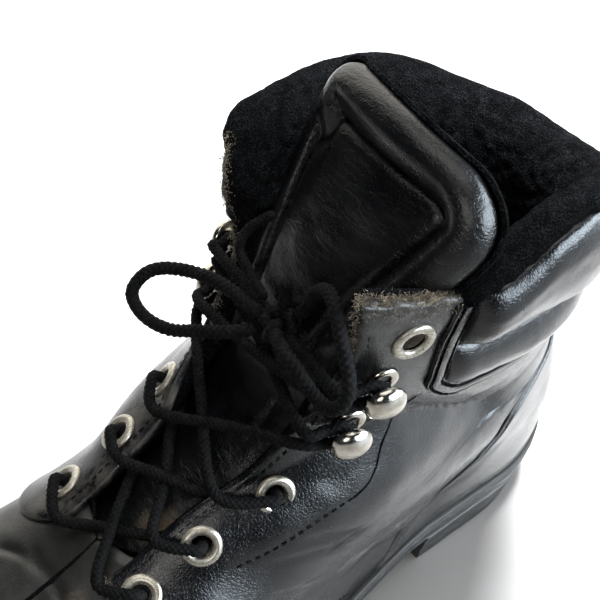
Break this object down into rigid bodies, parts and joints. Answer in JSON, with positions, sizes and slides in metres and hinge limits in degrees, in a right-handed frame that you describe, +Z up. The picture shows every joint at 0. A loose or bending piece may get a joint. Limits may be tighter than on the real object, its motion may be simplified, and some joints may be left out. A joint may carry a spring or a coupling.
{
  "type": "lace-up work boot",
  "caption": "Ankle-height black leather lace-up work boot with padded fleece-lined collar and tongue, eyelets, lace hooks, tied round lace, heel counter, welted sole and block heel.",
  "frame": {"origin": "on the floor, under the middle of the boot's box", "axes": "+X to the toe, +Y to the lateral (outer) side, +Z up"},
  "size_m": [0.2936, 0.1034, 0.1939],
  "materials": {
    "upper_leather": "worn semi-gloss black leather with scuffs and fine wrinkles",
    "collar_leather": "soft padded black leather",
    "lining": "black fleece",
    "midsole": "matte, dusty brown at its edge",
    "sole_rubber": "matte black rubber",
    "metal": "worn bright plate",
    "lace": "round braided cord"
  },
  "bodies": {
    "root": {"upper": "upper_leather", "quarter_lateral": "upper_leather", "quarter_medial": "upper_leather", "counter": "upper_leather", "collar": "collar_leather", "tongue": "collar_leather", "insole": "lining", "midsole": "midsole", "outsole": "sole_rubber", "heel": "sole_rubber", "eyelet_lateral_1": "metal", "eyelet_medial_1": "metal", "eyelet_lateral_2": "metal", "eyelet_medial_2": "metal", "eyelet_lateral_3": "metal", "eyelet_medial_3": "metal", "eyelet_lateral_6": "metal", "eyelet_medial_6": "metal", "hook_lateral_4": "metal", "hook_medial_4": "metal", "hook_lateral_5": "metal", "hook_medial_5": "metal", "lace_cross_1": "lace", "lace_cross_2": "lace", "lace_cross_3": "lace", "lace_cross_4": "lace", "lace_knot": "lace", "lace_loop_left": "lace", "lace_loop_right": "lace", "lace_end_long": "lace", "lace_end_short": "lace"}
  },
  "joints": []
}
